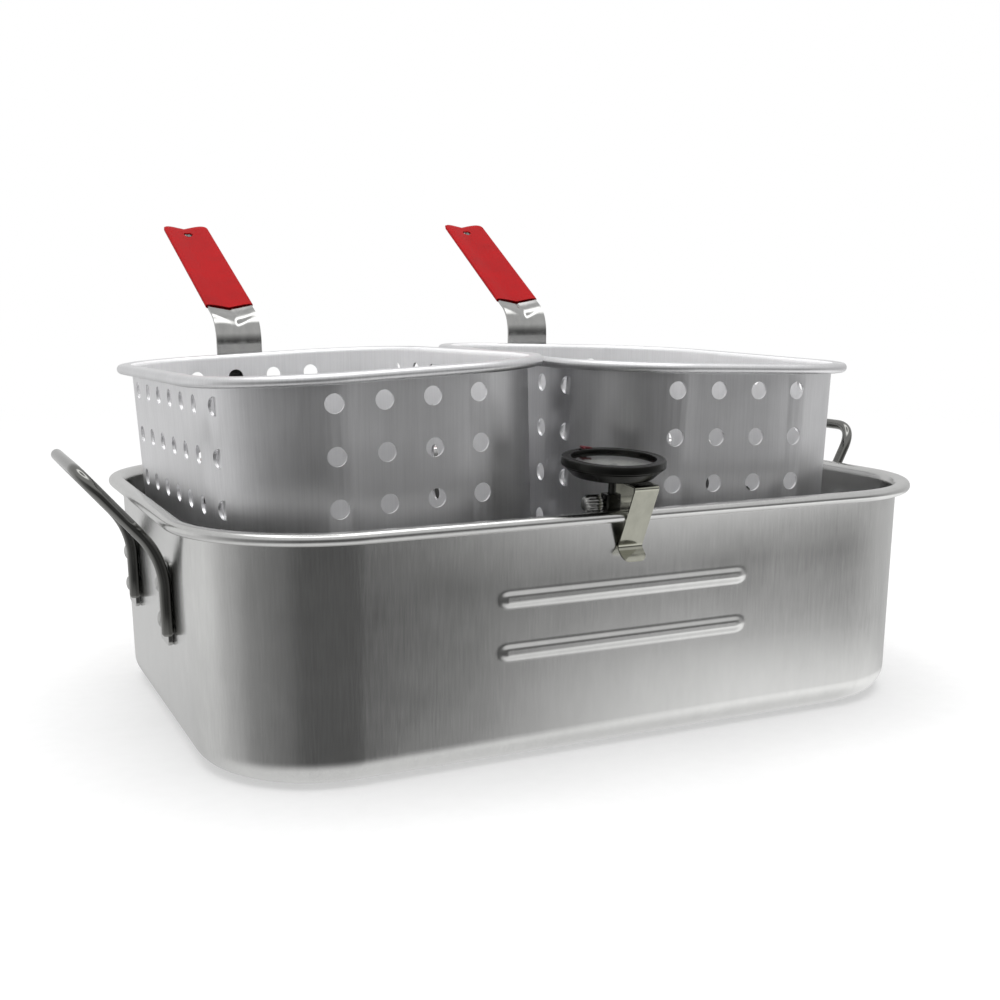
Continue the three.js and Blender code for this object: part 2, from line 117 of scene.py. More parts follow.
def arc(centre, height, radius, start, stop, steps):
    turn = [math.radians(start + (stop - start) * i / steps) for i in range(steps + 1)]
    return [(centre + radius * math.cos(a), height + radius * math.sin(a)) for a in turn]


def round_corners(points, radius, steps=10):
    path = [points[0]]
    for before, corner, after in zip(points, points[1:], points[2:]):
        back, ahead = before - corner, after - corner
        trim = min(radius, back.length / 2.05, ahead.length / 2.05)
        start, stop = corner + back.normalized() * trim, corner + ahead.normalized() * trim
        for step in range(steps + 1):
            t = step / steps
            path.append(start.lerp(corner, t).lerp(corner.lerp(stop, t), t))
    path.append(points[-1])
    return path


def fine_line(corners, radius, spacing):
    """A line through corners, rounded at each and cut into steps of about the spacing."""
    rounded = round_corners(corners, radius)
    line = [rounded[0]]
    for start, stop in zip(rounded, rounded[1:]):
        pieces = max(1, round((stop - start).length / spacing))
        line += [start.lerp(stop, i / pieces) for i in range(1, pieces + 1)]
    return line


def smoothstep(value):
    t = min(1, max(0, value))
    return t * t * (3 - 2 * t)


def build(name, shape, place=Matrix(), sharp=35):
    """A mesh object from vertices and faces in mm, placed in the row frame in metres."""
    verts, faces = shape
    mesh = bpy.data.meshes.new(name)
    mesh.from_pydata([(place @ Vector(v)) * MM for v in verts], [], faces)
    bm = bmesh.new()
    bm.from_mesh(mesh)
    bmesh.ops.remove_doubles(bm, verts=bm.verts, dist=1e-7)
    bmesh.ops.recalc_face_normals(bm, faces=bm.faces)
    bm.to_mesh(mesh)
    bm.free()
    shade(mesh, sharp)
    piece = bpy.data.objects.new(name, mesh)
    bpy.context.scene.collection.objects.link(piece)
    return piece


def shade(mesh, sharp):
    mesh.polygons.foreach_set("use_smooth", [True] * len(mesh.polygons))
    mesh.set_sharp_from_angle(angle=math.radians(sharp))


def soften(piece, width, segments=2):
    bevel = piece.modifiers.new("soft_edges", "BEVEL")
    bevel.width = width * MM
    bevel.segments = segments
    bevel.limit_method = "ANGLE"
    bevel.angle_limit = math.radians(40)
    return piece


def drill(piece, cutters, sharp=35):
    """Cuts the closed shapes in cutters, a (vertices, faces) pair in metres, from a piece."""
    tool = build("cutter", cutters[0], cutters[1])
    cut = piece.modifiers.new("holes", "BOOLEAN")
    cut.operation = "DIFFERENCE"
    cut.solver = "EXACT"
    cut.object = tool
    graph = bpy.context.evaluated_depsgraph_get()
    mesh = bpy.data.meshes.new_from_object(piece.evaluated_get(graph))
    piece.modifiers.clear()
    piece.data = mesh
    bpy.data.objects.remove(tool)
    shade(mesh, sharp)
    return piece


def join(shapes):
    verts, faces = [], []
    for some_verts, some_faces in shapes:
        start = len(verts)
        verts += some_verts
        faces += [tuple(start + i for i in face) for face in some_faces]
    return verts, faces


def moved(shape, matrix):
    verts, faces = shape
    return [matrix @ Vector(v) for v in verts], faces


def rod(radius, length, axis, steps=28):
    """A closed cylinder about the origin, along an axis."""
    shape = loft([ring_of(radius, -length / 2, steps), ring_of(radius, length / 2, steps)])
    turns = {
        "x": Matrix.Rotation(QUARTER, 4, "Y"),
        "y": Matrix.Rotation(QUARTER, 4, "X"),
        "z": Matrix(),
    }
    return moved(shape, turns[axis])


def finish_piece(piece, body, slot, material, *nodes):
    piece.data.materials.clear()
    piece.data.materials.append(material)
    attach(piece, body)
    if nodes:
        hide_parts(*nodes)
    return piece


# ------------------------------------------------------------------ materials
class Nodes:
    """A material's node tree, built a node at a time."""

    def __init__(self, name):
        self.material = bpy.data.materials.new(name)
        self.material.use_nodes = True
        self.tree = self.material.node_tree
        self.shader = self.tree.nodes["Principled BSDF"]
        self.place = self.new("ShaderNodeTexCoord").outputs["Object"]

    def new(self, kind, **inputs):
        node = self.tree.nodes.new(kind)
        for name, value in inputs.items():
            self.feed(node.inputs[name.replace("_", " ")], value)
        return node

    def feed(self, socket, value):
        if isinstance(value, bpy.types.NodeSocket):
            self.tree.links.new(value, socket)
        else:
            socket.default_value = value

    def noise(self, stretch, detail=3, roughness=0.55):
        """Noise with its features stretch metres long on each axis."""
        scale = self.new("ShaderNodeMapping", Vector=self.place, Scale=[1 / s for s in stretch])
        node = self.new(
            "ShaderNodeTexNoise", Vector=scale.outputs[0], Scale=1.0, Detail=detail, Roughness=roughness,
        )
        return node.outputs["Factor"] if "Factor" in node.outputs else node.outputs["Fac"]

    def spread(self, value, low, high, start=0.3, stop=0.7):
        node = self.new("ShaderNodeMapRange", Value=value)
        node.inputs["From Min"].default_value = start
        node.inputs["From Max"].default_value = stop
        node.inputs["To Min"].default_value = low
        node.inputs["To Max"].default_value = high
        return node.outputs[0]

    def math(self, operation, first, second):
        node = self.new("ShaderNodeMath")
        node.operation = operation
        self.feed(node.inputs[0], first)
        self.feed(node.inputs[1], second)
        return node.outputs[0]

    def tint(self, colour, factor):
        """The colour with its brightness multiplied by factor."""
        node = self.new("ShaderNodeVectorMath")
        node.operation = "SCALE"
        node.inputs[0].default_value = colour
        self.feed(node.inputs["Scale"], factor)
        return node.outputs[0]

    def bump(self, height, distance, strength=1.0):
        node = self.new("ShaderNodeBump", Height=height, Distance=distance, Strength=strength)
        self.feed(self.shader.inputs["Normal"], node.outputs[0])

    def set(self, **inputs):
        for name, value in inputs.items():
            self.feed(self.shader.inputs[name.replace("_", " ")], value)
        return self.material


def brushed_metal(name, colour, roughness, grain, contrast=0.1, bump=6e-6, metallic=1.0, painted_shade_heights=None):
    """Metal with brush marks, where grain is the marks' size on each axis in metres.
    The last argument is the pair of heights between which painted shade clears: darker below the first,
    full brightness from the second up."""
    fine, wide_by = 0.003, 12
    blotch, uneven, painted_shade_level = 0.04, 0.02, 0.66
    m = Nodes(name)
    marks = m.noise(grain, detail=4, roughness=0.65)
    wide = m.noise([wide_by * g if g < fine else g for g in grain], detail=2)
    cloud = m.noise((0.05, 0.05, 0.035), detail=4)
    marked = m.spread(marks, 1 - contrast, 1 + contrast)
    clouded = m.spread(cloud, 1 - blotch, 1 + blotch)
    shade_of = m.math("MULTIPLY", marked, clouded)
    shade_of = m.math("MULTIPLY", shade_of, m.spread(wide, 1 - contrast / 2, 1 + contrast / 2))
    # painted shade: the colour is darkened lower down, standing in for shade deeper inside the basket
    if painted_shade_heights:
        height = m.new("ShaderNodeSeparateXYZ", Vector=m.place).outputs["Z"]
        shade_of = m.math("MULTIPLY", shade_of, m.spread(height, painted_shade_level, 1.0, *painted_shade_heights))
    scuffs = m.noise((0.0006, 0.009, 0.0006), detail=2)
    patchy = m.spread(cloud, roughness - uneven, roughness + uneven)
    rough = m.math("ADD", patchy, m.spread(marks, -uneven, uneven))
    m.bump(m.math("ADD", marks, m.math("MULTIPLY", scuffs, 0.5)), bump)
    return m.set(Base_Color=m.tint(colour, shade_of), Metallic=metallic, Roughness=rough)


def bright_metal(name, colour, roughness, bump=2e-5):
    """Plated metal with faint smears and a slightly uneven surface."""
    m = Nodes(name)
    smear = m.noise((0.006, 0.006, 0.02), detail=4)
    wave = m.noise((0.009, 0.009, 0.012), detail=1)
    m.bump(wave, bump)
    return m.set(
        Base_Color=m.tint(colour, m.spread(smear, 0.9, 1.05)),
        Metallic=1.0,
        Roughness=m.spread(smear, roughness - 0.03, roughness + 0.07),
    )


def vinyl(name, colour):
    m = Nodes(name)
    pebble = m.noise((0.0012, 0.0012, 0.0012), detail=3)
    cloud = m.noise((0.02, 0.02, 0.02), detail=3)
    m.bump(pebble, 4e-5, 0.6)
    return m.set(
        Base_Color=m.tint(colour, m.spread(cloud, 0.9, 1.08)),
        Roughness=m.spread(cloud, 0.34, 0.44),
        Specular_IOR_Level=0.05,
    )


def enamel(name, colour, roughness=0.45):
    m = Nodes(name)
    speck = m.noise((0.0008, 0.0008, 0.0008), detail=3)
    m.bump(speck, 5e-6)
    return m.set(
        Base_Color=m.tint(colour, m.spread(speck, 0.94, 1.04)),
        Roughness=m.spread(speck, roughness, roughness + 0.08),
    )


def lens_glass(name):
    m = Nodes(name)
    dust = m.noise((0.004, 0.004, 0.004), detail=4)
    return m.set(
        Base_Color=(0.86, 0.88, 0.86, 1),
        Transmission_Weight=1.0,
        IOR=1.5,
        Roughness=m.spread(dust, 0.02, 0.12),
    )


FINE_GRAIN, LONG_GRAIN = (0.0007, 0.0007, 0.02), (0.0012, 0.0012, 0.05)
PAN_METAL = brushed_metal(
    "pan_aluminium", (0.66, 0.66, 0.65), 0.22, FINE_GRAIN, contrast=0.04, bump=3e-7,
)
BASKET_METAL = brushed_metal("basket_aluminium", (0.79, 0.79, 0.80), 0.40, LONG_GRAIN, contrast=0.05)
# painted light: the basket's inner faces get a lighter, less metallic copy of the same aluminium, darkened
# lower down by painted shade
BASKET_INSIDE_LIT = brushed_metal(
    "basket_inside_painted_light", (0.97, 0.97, 0.98), 0.50, LONG_GRAIN, contrast=0.04,
    metallic=0.40, painted_shade_heights=(0.13, 0.19),
)
PLATED = bright_metal("bright_plating", (0.46, 0.46, 0.45), 0.10)
# painted shade: a darker copy of the bright plating, standing in for the dark surroundings that the chrome
# wire reflects
WIRE_PLATED_SHADED = bright_metal("wire_plating_painted_dark", (0.22, 0.22, 0.21), 0.08)
SPRING = bright_metal("spring_steel", (0.41, 0.41, 0.35), 0.09, bump=8e-6)
GUNMETAL = brushed_metal("gunmetal", (0.032, 0.032, 0.030), 0.24, (0.006, 0.006, 0.0004), contrast=0.12)
BLACKENED = brushed_metal(
    "blackened_steel", (0.06, 0.06, 0.055), 0.25, (0.003, 0.003, 0.003), contrast=0.1,
)
VINYL = vinyl("red_vinyl", (0.375, 0.0045, 0.0065))
GLASS = lens_glass("lens_glass")
DIAL_WHITE = enamel("dial_enamel", (0.62, 0.61, 0.57))
INK = enamel("dial_ink", (0.02, 0.02, 0.02))
MARKER_RED = enamel("marker_enamel", (0.10, 0.004, 0.010), 0.3)


# ------------------------------------------------------------------ drawn shells
def shell_section(shell):
    """[outward offset, height] from the underside out, round the rolled rim and down inside."""
    height, bead, lip, flare, sheet = (shell[k] for k in ("height", "bead", "lip", "flare", "sheet"))
    fillet = shell["fillet"]
    foot = -shell["taper"] * (height - fillet) / height
    tuck = 1  # the bend under the rolled rim
    under_roll = height - bead - 1.2 * tuck
    section = arc(foot - fillet, fillet, fillet, -90, 0, FILLET_STEPS)
    section += arc(tuck, under_roll, tuck, 180, 100, 4)
    section += arc(lip - bead, height - bead, bead, 182, 450, 26)
    section += arc(flare - sheet, height - flare, flare, 90, 180, 8)
    section += arc(foot - fillet, fillet, fillet - sheet, 0, -90, 10)
    return section


def rounded_ring(half_x, half_y, radius, z, corner_steps, front_steps=1):
    """A rounded rectangle, with its -Y side cut in front_steps."""
    ring = []
    for corner in range(4):
        side_x = 1 if corner in (0, 3) else -1
        side_y = 1 if corner < 2 else -1
        for step in range(corner_steps + 1):
            angle = (corner + step / corner_steps) * QUARTER
            x = side_x * (half_x - radius) + radius * math.cos(angle)
            y = side_y * (half_y - radius) + radius * math.sin(angle)
            ring.append(Vector((x, y, z)))
        if corner == 2:
            start = ring[-1]
            stop = Vector((half_x - radius, -half_y, z))
            ring += [start.lerp(stop, i / front_steps) for i in range(1, front_steps)]
    return ring


def drawn_shell(shell, section):
    half_x, half_y, corner = (shell[k] for k in ("half_x", "half_y", "corner"))
    steps = shell["corner_steps"], shell["front_steps"]
    return loft([
        rounded_ring(half_x + out, half_y + out, corner + out, z, *steps) for out, z in section
    ])


def rib_height(x, z):
    """How far the pan's front wall is pressed out by its two ribs."""
    end = RIB["length"] / 2 - RIB["half_width"]
    past = max(0, abs(x) - end)
    near = min(math.hypot(past, z - height) for height in RIB["heights"])
    return RIB["rise"] * smoothstep(RIB["flank"] * (1 - near / RIB["half_width"]))


def make_pan():
    section = shell_section(PAN)
    foot, top = section[FILLET_STEPS:FILLET_STEPS + 2]
    low, high = min(RIB["heights"]) - RIB["margin"], max(RIB["heights"]) + RIB["margin"]
    dense = []
    for i in range(RIB["rows"] + 1):
        z = low + (high - low) * i / RIB["rows"]
        share = (z - foot[1]) / (top[1] - foot[1])
        dense.append((foot[0] + share * (top[0] - foot[0]), z))
    first = FILLET_STEPS + 1
    section[first:first] = dense
    verts, faces = drawn_shell(PAN, section)
    per_ring = len(verts) // len(section)
    front, flat = -PAN["half_y"] + PAN["taper"], PAN["half_x"] - PAN["corner"]
    for point in verts[first * per_ring:(first + len(dense)) * per_ring]:
        if point.y < front and abs(point.x) < flat:
            point.y -= rib_height(point.x, point.z)
    piece = build("pan_shell", (verts, faces))
    return finish_piece(piece, "pan", "drawn_aluminium", PAN_METAL, "pan_body")


def spread_out(count):
    return [(i - (count - 1) / 2) * HOLE["pitch"] for i in range(count)]


def basket_cutters():
    """The holes of a basket, in its own frame."""
    slope = BASKET["taper"] / BASKET["height"]
    shapes = []

    def hole(axis, *at):
        shapes.append(moved(rod(HOLE["radius"], HOLE["cut"], axis), Matrix.Translation(at)))

    for row in range(HOLE["rows"]):
        drop = HOLE["first_drop"] + row * HOLE["pitch"]
        for side in (-1, 1):
            for x in spread_out(HOLE["across"]):
                hole("y", x, side * (BASKET["half_y"] - slope * drop), -drop)
            for y in spread_out(HOLE["along"]):
                hole("x", side * (BASKET["half_x"] - slope * drop), y, -drop)
    for x in spread_out(HOLE["across"]):
        for y in spread_out(HOLE["along_floor"]):
            hole("z", x, y, -BASKET["height"])
    return join(shapes)


# ------------------------------------------------------------------ baskets and their handles
def basket_frame(side):
    place = PLACES[side]
    tip = Euler([math.radians(a) for a in place["tip"]], "XYZ")
    return Matrix.Translation(place["at"]) @ tip.to_matrix().to_4x4()


def handle_frame(handle_x, handle_roll, **_):
    """A handle's place on its basket, turned a little about its rivets, flat against the wall."""
    turn = Matrix.Rotation(math.radians(handle_roll), 4, "Y")
    at = Matrix.Translation((handle_x, 0, -HANDLE_PIVOT))
    return at @ turn @ Matrix.Translation((0, 0, HANDLE_PIVOT))


def strap_line():
    """The strap's middle line as (y, z), up the wall, out past the rim, up and leaning back."""
    slope = BASKET["taper"] / BASKET["height"]

    def on_wall(drop):
        return BASKET["half_y"] + slope * drop + GAP + STRAP["sheet"] / 2

    stand = BASKET["half_y"] + STRAP["clear"]
    corners = [
        Vector((on_wall(STRAP["foot"]), STRAP["foot"])),
        Vector((on_wall(STRAP["kick"]), STRAP["kick"])),
        Vector((stand, STRAP["kick"] + STRAP["kick_rise"])),
        Vector((stand, STRAP["bend"])),
        along_lean(STRAP["reach"]),
    ]
    return fine_line(corners, STRAP["radius"], 2)


def along_lean(distance):
    lean = math.radians(STRAP["lean"])
    bend = Vector((BASKET["half_y"] + STRAP["clear"], STRAP["bend"]))
    return bend + distance * Vector((math.sin(lean), math.cos(lean)))


def distances(line):
    total, out = 0, [0]
    for start, stop in zip(line, line[1:]):
        total += (stop - start).length
        out.append(total)
    return out


def across(line, i, x, lift):
    """The point x across and lift above a line in the YZ plane, at its i-th point."""
    before, after = line[max(i - 1, 0)], line[min(i + 1, len(line) - 1)]
    along = (after - before).normalized()
    return Vector((x, line[i].x - along.y * lift, line[i].y + along.x * lift))


def make_strap(side, place):
    line = strap_line()
    lengths = distances(line)
    below = Vector((along_lean(0).x, STRAP["bend"] - STRAP["valley_below"]))
    valley_from = lengths[min(range(len(line)), key=lambda i: (line[i] - below).length)]
    valley_point, valley_curve = 1.5, 1.15
    cells = STRAP["cells"]
    rings = []
    for i in range(len(line)):
        share = smoothstep((lengths[i] - valley_from) / STRAP["valley_run"])
        reach = valley_point + share * STRAP["width"] / 2
        trim = STRAP["foot_trim"] * (1 - smoothstep(lengths[i] / STRAP["foot_round"]))
        half = STRAP["width"] / 2 - trim
        xs = [half * (2 * k / cells - 1) for k in range(cells + 1)]

        def lift(x):
            return -STRAP["valley"] * share * max(0, 1 - abs(x) / reach) ** valley_curve

        top = [across(line, i, x, STRAP["sheet"] / 2 + lift(x)) for x in xs]
        under = [across(line, i, x, -STRAP["sheet"] / 2 + lift(x)) for x in reversed(xs)]
        rings.append(top + under)
    piece = build(f"{side}_strap", loft(rings), place)
    drill(piece, (hang_hole_cutter(), place))
    soften(piece, 0.35)
    return finish_piece(piece, f"{side}_basket", "bright_plating", PLATED, f"{side}_basket_strap")


def hang_hole_cutter():
    at = along_lean(STRAP["reach"] - HANG_HOLE["from_tip"])
    turn = Matrix.Rotation(QUARTER - math.radians(STRAP["lean"]), 4, "X")
    return moved(rod(HANG_HOLE["radius"], 30, "z", 32), Matrix.Translation((0, at.x, at.y)) @ turn)


def sleeve_ring(distance, half_width, half_thick, notch):
    """A rounded flat ring across the leaning part of the strap, with its valley."""
    flat_x, flat_z = 0.42, 0.55
    valley_reach, valley_curve = 16, 1.1
    notch_at, notch_width = -2, 4
    direction = (along_lean(1) - along_lean(0)).normalized()
    steps = 48
    ring = []
    for i in range(steps):
        angle = 2 * math.pi * i / steps
        cosine, sine = math.cos(angle), math.sin(angle)
        x = half_width * math.copysign(abs(cosine) ** flat_x, cosine)
        lift = half_thick * math.copysign(abs(sine) ** flat_z, sine)
        lift -= STRAP["valley"] * max(0, 1 - abs(x) / valley_reach) ** valley_curve
        at = along_lean(distance - notch * math.exp(-((x - notch_at) / notch_width) ** 2))
        ring.append(Vector((x, at.x - direction.y * lift, at.y + direction.x * lift)))
    return ring


def make_grip(side, place):
    half = STRAP["width"] / 2 + GRIP["wall"]
    thick = STRAP["sheet"] / 2 + GRIP["wall"]
    tip = STRAP["reach"] + GRIP["past_tip"]
    start, body_steps, notch = GRIP["start"], GRIP["body_steps"], GRIP["notch"]
    rings = []
    tip_steps, smallest = 8, 0.02
    for i in range(tip_steps + 1):
        turn = QUARTER * i / tip_steps
        back = GRIP["tip_length"] * (1 - math.cos(turn))
        size = math.sin(turn) if i else smallest
        width = half - GRIP["tip_narrowing"] * (1 - size)
        rings.append(sleeve_ring(tip - back, width, thick * (0.25 + 0.75 * size), notch))
    body_end = tip - GRIP["tip_length"]
    for i in range(1, body_steps + 1):
        distance = body_end + (start - body_end) * i / body_steps
        rings.append(sleeve_ring(distance, half, thick, max(0, notch - i * 0.2)))
    pocket = STRAP["width"] / 2 + GAP, STRAP["sheet"] / 2 + GAP
    rings.append(sleeve_ring(start + 0.2, half - 0.5, thick - 0.5, 0))
    rings.append(sleeve_ring(start + 0.3, *pocket, 0))
    rings.append(sleeve_ring(STRAP["reach"] + GAP, *pocket, 0))
    piece = build(f"{side}_grip", loft(rings), place, 50)
    drill(piece, (hang_hole_cutter(), place), 50)
    return finish_piece(piece, f"{side}_basket", "red_vinyl", VINYL, f"{side}_basket_grip")


def rivet_shape(grasp):
    """A domed rivet along +Z with its head on z = 0, and its tail closed under the grasp."""
    shank, head, edge, tail = (RIVET[k] for k in ("shank", "head", "edge", "tail"))
    under = -grasp - 2 * GAP
    bottom = under - RIVET["tail_height"]
    dome_foot, dome_width, dome_steps = edge + 0.2, 0.93, 8
    profile = [(0, bottom), (tail * 0.8, bottom), (tail, under - 0.7 * RIVET["tail_height"]), (tail, under)]
    profile += [(shank, under), (shank, GAP), (head, GAP), (head, edge)]
    for step in range(dome_steps + 1):
        turn = QUARTER * step / dome_steps
        height = dome_foot + (RIVET["dome"] - dome_foot) * math.sin(turn)
        profile.append((dome_width * head * math.cos(turn), height))
    return lathe(profile, 40)


def make_basket_rivets(side, place):
    slope = BASKET["taper"] / BASKET["height"]
    for i, drop in enumerate(STRAP_RIVET_DROPS, 1):
        y = BASKET["half_y"] - slope * drop + STRAP["sheet"] + GAP
        at = place @ Matrix.Translation((0, y, -drop)) @ Matrix.Rotation(-QUARTER, 4, "X")
        piece = build(f"{side}_strap_rivet_{i}", rivet_shape(STRAP["sheet"] + BASKET["sheet"]), at)
        node = f"{side}_basket_rivet_{i}"
        finish_piece(piece, f"{side}_basket", "bright_plating", PLATED, node)


def line_inside(piece, place, material):
    """Gives the faces that look towards the middle of a basket a second material: a lighter, less metallic
    copy of the basket metal, painted light for the inside.
    """
    floor_height = 0.05
    piece.data.materials.append(material)
    middle = (place.translation * MM).xy
    for face in piece.data.polygons:
        outward = (face.center.xy - middle).normalized()
        inner_wall = face.normal.xy.dot(outward) < -0.3
        inner_floor = face.normal.z > 0.5 and face.center.z < floor_height
        if inner_wall or inner_floor:
            face.material_index = 1


def make_baskets():
    hung = Matrix.Translation((0, 0, -BASKET["height"]))
    shell = moved(drawn_shell(BASKET, shell_section(BASKET)), hung)
    cutters = basket_cutters()
    for side in PLACES:
        place = basket_frame(side)
        piece = build(f"{side}_perforated_basket", shell, place)
        drill(piece, (cutters, place))
        finish_piece(piece, f"{side}_basket", "drawn_aluminium", BASKET_METAL, f"{side}_basket")
        line_inside(piece, place, BASKET_INSIDE_LIT)
        handle = place @ handle_frame(**PLACES[side])
        make_strap(side, handle)
        make_grip(side, handle)
        make_basket_rivets(side, handle)


# ------------------------------------------------------------------ the pan's wire handles
def end_frame(side):
    inward = PAN["taper"] * (PAN["height"] - LEG_PLATE["centre"]) / PAN["height"]
    turn = Matrix.Rotation(math.pi if side == "left" else 0, 4, "Z")
    shift = Matrix.Translation((PAN["half_x"] - inward, 0, LEG_PLATE["centre"]))
    return turn @ shift @ Matrix.Rotation(math.atan(PAN["taper"] / PAN["height"]), 4, "Y")


def swept_wire(path, radius, steps=24):
    """A round wire along a path, with its ends slightly pinched and chamfered."""
    last = len(path) - 1
    tangents = [(path[min(i + 1, last)] - path[max(i - 1, 0)]).normalized() for i in range(len(path))]
    pinch, chamfer = 0.72, 1.2
    side = Vector((1, 0, 0)).cross(tangents[0]).normalized()
    total = distances(path)
    rings = []
    for i, point in enumerate(path):
        side = (side - tangents[i] * side.dot(tangents[i])).normalized()
        other = tangents[i].cross(side)
        from_end = min(total[i], total[-1] - total[i])
        size = radius * (pinch + (1 - pinch) * smoothstep(from_end / chamfer))
        ring = []
        for k in range(steps):
            angle = 2 * math.pi * k / steps
            ring.append(point + size * (math.cos(angle) * side + math.sin(angle) * other))
        rings.append(ring)
    return loft(rings)


def make_wire_handle(side):
    place = end_frame(side)
    off_centre, out, up = WIRE_LOOPS[side]
    near, far = (off_centre + end * WIRE["spacing"] / 2 for end in (-1, 1))
    seat = WIRE["radius"] + GAP
    low, high = WIRE["leg_end"] - LEG_PLATE["centre"], WIRE["leg_top"] - LEG_PLATE["centre"]
    chamfer = (0, 0.6, 1.4)  # where the leg's end is shaped
    points = [Vector((seat, near, low + rise)) for rise in chamfer]
    points += [Vector((seat, near, high)), Vector((seat + out, near, high + up))]
    points += [Vector((seat + out, far, high + up)), Vector((seat, far, high))]
    points += [Vector((seat, far, low + rise)) for rise in reversed(chamfer)]
    path = points[:2] + round_corners(points[2:-2], WIRE["bend"], 14) + points[-2:]
    piece = build(f"{side}_loop_wire", swept_wire(path, WIRE["radius"]), place)
    finish_piece(piece, "pan", "bright_plating", WIRE_PLATED_SHADED, f"{side}_handle_wire")
    rivet_number = 1
    for i, leg in enumerate((near, far), 1):
        y = leg - LEG_PLATE["from_leg"]
        make_leg_plate(side, i, y, place)
        for level in (-1, 1):
            at = place @ Matrix.Translation((LEG_PLATE["sheet"] + GAP, y, level * RIVET["rise"]))
            at = at @ Matrix.Rotation(QUARTER, 4, "Y")
            shape = rivet_shape(LEG_PLATE["sheet"] + PAN["sheet"])
            piece = build(f"{side}_plate_rivet_{rivet_number}", shape, at)
            node = f"{side}_handle_rivet_{rivet_number}"
            finish_piece(piece, "pan", "bright_plating", PLATED, node)
            rivet_number += 1


def make_leg_plate(side, number, y, place):
    outline = rounded_ring(LEG_PLATE["width"] / 2, LEG_PLATE["height"] / 2, LEG_PLATE["corner"], 0, 6)
    back, front = GAP, GAP + LEG_PLATE["sheet"]
    rings = [[Vector((x, y + p.x, p.y)) for p in outline] for x in (back, front)]
    piece = soften(build(f"{side}_leg_plate_{number}", loft(rings), place), 0.5, 3)
    return finish_piece(piece, "pan", "bright_plating", PLATED, f"{side}_handle_plate_{number}")


# ------------------------------------------------------------------ thermometer
def thermometer_frame():
    return Matrix.Translation(DIAL["centre"]) @ Matrix.Rotation(math.radians(DIAL["lean"]), 4, "X")


def make_dial(place):
    radius, window, bezel, depth = (DIAL[k] for k in ("radius", "window", "bezel", "depth"))
    wall = radius - 0.9
    case = wall - 2 * GAP
    seat = -1.6
    rim = [
        (window, -0.5), (window, seat), (wall, seat), (wall, -bezel),
        (radius - 0.3, -bezel), (radius, -bezel + 0.3), (radius, -0.7), (radius - 0.25, -0.2),
        (radius - 0.8, 0), (radius - 1.4, -0.1), (radius - 1.8, -0.35),
        (window + 1.2, -0.35), (window + 0.5, -0.1), (window + 0.2, -0.1),
    ]
    piece = build("bezel_ring", lathe(rim, 128, True), place)
    finish_piece(piece, "thermometer", "dark_metal", GUNMETAL, "dial_bezel")

    lens_top = seat - GAP
    lens_bottom = lens_top - 1.2
    crown = lens_top + 0.05
    lens = [(0, lens_bottom), (case, lens_bottom), (case, lens_top), (window, lens_top), (0, crown)]
    piece = build("lens_disc", lathe(lens, 96), place)
    finish_piece(piece, "thermometer", "lens_glass", GLASS, "dial_lens")

    bore = STEM["radius"] + GAP
    base, bend, sheet = radius - 7, 2.2, 1
    inside, case_top = case - sheet, lens_bottom - GAP
    bowl = [(bore, -depth), (base, -depth)]
    bowl += [(base + bend * math.sin(a), -depth + bend * (1 - math.cos(a))) for a in (0.35, 0.7, 1.0)]
    bowl += [(case, -bezel - 0.9), (case, case_top), (inside, case_top), (inside, -bezel - 1.2)]
    bowl += [(base + 0.5, -depth + 1.3), (base - 1, -depth + sheet), (bore, -depth + sheet)]
    piece = build("case_bowl", lathe(bowl, 96, True), place)
    finish_piece(piece, "thermometer", "dark_metal", GUNMETAL, "dial_case")

    face_top = -depth + 2.9
    make_face(place, face_top, case - 4)
    return face_top


def make_face(place, top, radius):
    plate = [(1, top - 0.5), (radius, top - 0.5), (radius, top), (1, top)]
    piece = build("face_plate", lathe(plate, 96, True), place)
    finish_piece(piece, "thermometer", "dial_enamel", DIAL_WHITE, "dial_face")

    ticks = []
    outer = radius - 0.7
    for i in range(SCALE["ticks"] + 1):
        angle = math.radians(SCALE["start"] - SCALE["sweep"] * i / SCALE["ticks"])
        long_tick = i % 5 == 0
        inner, width = (radius - 3.2, 0.22) if long_tick else (radius - 2, 0.12)
        outline = [(inner, -width), (outer, -width), (outer, width), (inner, width)]
        rings = [[Vector((x, y, z)) for x, y in outline] for z in (top + 0.02, top + 0.08)]
        ticks.append(moved(loft(rings), Matrix.Rotation(angle, 4, "Z")))
    piece = build("face_ticks", join(ticks), place)
    finish_piece(piece, "thermometer", "needle_black", INK)

    for i in range(SCALE["numbers"]):
        angle = math.radians(SCALE["start"] - SCALE["sweep"] * i / (SCALE["numbers"] - 1))
        at = Vector((math.cos(angle), math.sin(angle), 0)) * (radius - 5.6)
        spot = place @ Matrix.Translation((at.x, at.y, top + 0.06))
        make_number(f"face_number_{i}", SCALE["first"] + SCALE["step"] * i, spot)


def make_number(name, value, spot):
    text = bpy.data.curves.new(name, "FONT")
    text.body = str(value)
    text.size = SCALE["text"] * MM
    text.align_x = text.align_y = "CENTER"
    text.extrude = 0.03 * MM
    drawn = bpy.data.objects.new(text.name, text)
    bpy.context.scene.collection.objects.link(drawn)
    mesh = bpy.data.meshes.new_from_object(drawn)
    bpy.data.objects.remove(drawn)
    mesh.transform(Matrix.Translation(spot.translation * MM) @ spot.to_3x3().to_4x4())
    piece = bpy.data.objects.new(name, mesh)
    bpy.context.scene.collection.objects.link(piece)
    finish_piece(piece, "thermometer", "needle_black", INK)


